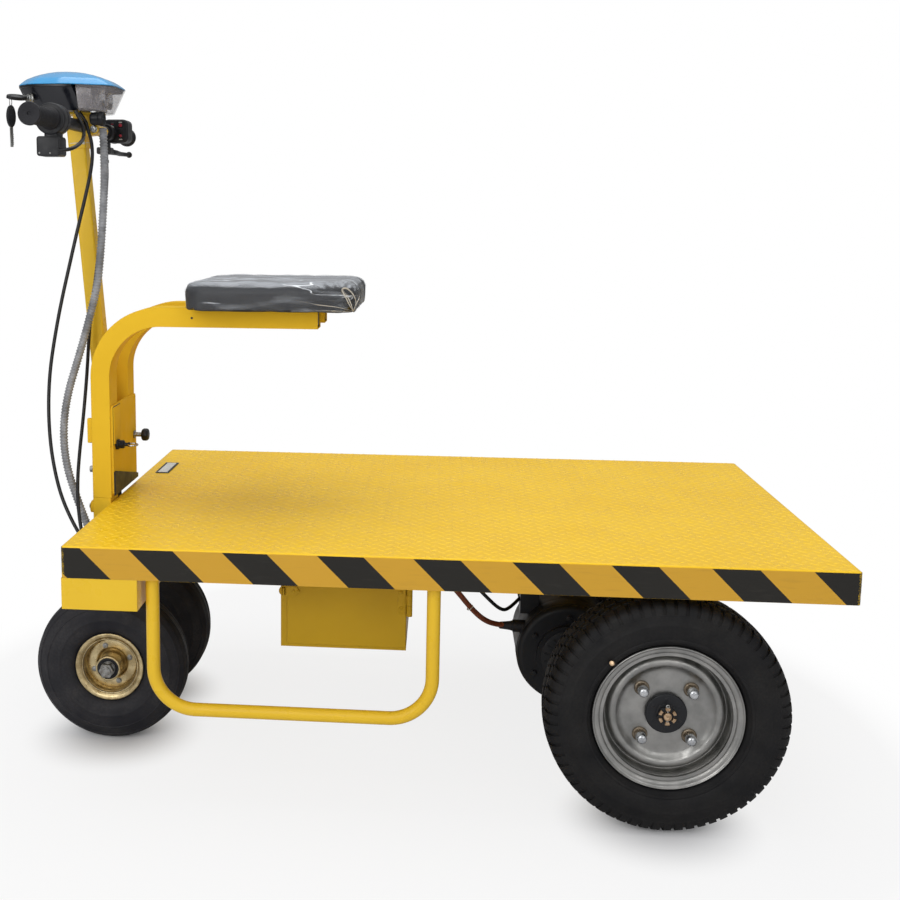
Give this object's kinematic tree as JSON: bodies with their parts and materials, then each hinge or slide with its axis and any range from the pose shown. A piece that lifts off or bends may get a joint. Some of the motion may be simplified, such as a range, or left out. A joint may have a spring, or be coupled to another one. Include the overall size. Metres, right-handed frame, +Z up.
{
  "type": "electric platform cart",
  "caption": "Yellow powered platform cart with a flat load deck, twin steered wheels under a tiller column, a swivelling seat on a bent mast and a battery box below the deck.",
  "frame": {"origin": "on the ground, under the middle of the whole cart", "axes": "+X ahead, towards the driven wheels, +Y to the left, +Z up"},
  "size_m": [1.425, 0.8, 1.238],
  "materials": {
    "yellow_paint": "gloss",
    "black_steel": "satin",
    "tyre_rubber": "matt",
    "soft_rubber": "matt",
    "silver_paint": "satin",
    "yellow_zinc": "satin",
    "bare_steel": "brushed",
    "chrome": "polished",
    "leatherette": "satin",
    "plywood": "matt",
    "black_plastic": "satin",
    "blue_plastic": "gloss",
    "grey_plastic": "matt",
    "clear_lens": "gloss",
    "battery_case": "matt"
  },
  "bodies": {
    "chassis": {"deck_plate": "yellow_paint", "deck_frame": "yellow_paint", "steer_crossmember": "yellow_paint", "foot_rail_right": "yellow_paint", "foot_rail_left": "yellow_paint", "battery_box": "yellow_paint", "battery_pack": "battery_case", "hinge_pin": "bare_steel", "steering_head": "yellow_paint", "seat_base": "yellow_paint", "axle_housing": "black_steel", "axle_hanger_right": "black_steel", "axle_hanger_left": "black_steel", "drive_motor": "black_steel", "cable_gland": "black_plastic", "cable_entry": "soft_rubber", "motor_lead": "soft_rubber", "sensor_lead": "soft_rubber"},
    "battery_door": {"battery_door": "yellow_paint"},
    "steering": {"steering_stem": "bare_steel", "steering_column": "yellow_paint", "bar_clamp": "yellow_paint", "handlebar": "black_steel", "grip_right": "soft_rubber", "grip_left": "soft_rubber", "throttle_housing": "black_plastic", "switch_box": "black_plastic", "brake_lever": "black_plastic", "console_body": "black_plastic", "console_cover": "blue_plastic", "headlight_lens": "clear_lens", "horn": "black_plastic", "ignition_lock": "chrome", "wiring_conduit": "grey_plastic", "brake_cable_right": "soft_rubber", "brake_cable_left": "soft_rubber", "throttle_wire": "soft_rubber"},
    "steer_wheel_right": {"steer_tyre_right": "tyre_rubber", "steer_rim_right": "yellow_zinc"},
    "steer_wheel_left": {"steer_tyre_left": "tyre_rubber", "steer_rim_left": "yellow_zinc"},
    "drive_wheel_right": {"drive_tyre_right": "tyre_rubber", "drive_rim_right": "silver_paint", "drive_hub_right": "black_steel"},
    "drive_wheel_left": {"drive_tyre_left": "tyre_rubber", "drive_rim_left": "silver_paint", "drive_hub_left": "black_steel"},
    "seat": {"seat_mast_right": "yellow_paint", "seat_mast_left": "yellow_paint", "seat_web": "yellow_paint", "seat_gusset": "black_steel", "seat_latch": "bare_steel", "seat_knob": "black_plastic", "seat_board": "plywood", "seat_cushion": "leatherette"}
  },
  "joints": [
    {"name": "steering_turn", "type": "hinge", "parent": "chassis", "child": "steering", "pos_m": [-0.5615, 0, 0.45], "axis": [-0.0785, 0, 0.9969], "range_deg": [-45, 45], "deforming": ["wiring_conduit", "brake_cable_right", "brake_cable_left"]},
    {"name": "steer_wheel_right_roll", "type": "hinge", "parent": "steering", "child": "steer_wheel_right", "pos_m": [-0.53734, -0.105, 0.143], "axis": [0, 1, 0], "continuous": true},
    {"name": "steer_wheel_left_roll", "type": "hinge", "parent": "steering", "child": "steer_wheel_left", "pos_m": [-0.53734, 0.105, 0.143], "axis": [0, 1, 0], "continuous": true},
    {"name": "drive_wheel_right_roll", "type": "hinge", "parent": "chassis", "child": "drive_wheel_right", "pos_m": [0.4375, -0.34, 0.195], "axis": [0, 1, 0], "continuous": true},
    {"name": "drive_wheel_left_roll", "type": "hinge", "parent": "chassis", "child": "drive_wheel_left", "pos_m": [0.4375, 0.34, 0.195], "axis": [0, 1, 0], "continuous": true},
    {"name": "battery_door_swing", "type": "hinge", "parent": "chassis", "child": "battery_door", "pos_m": [0.0225, -0.25, 0.33], "axis": [0, 0, 1], "range_deg": [0, 100]},
    {"name": "seat_swivel", "type": "hinge", "parent": "chassis", "child": "seat", "pos_m": [-0.553, -0.08, 0.458], "axis": [0, 0, 1], "range_deg": [-90, 0]}
  ]
}
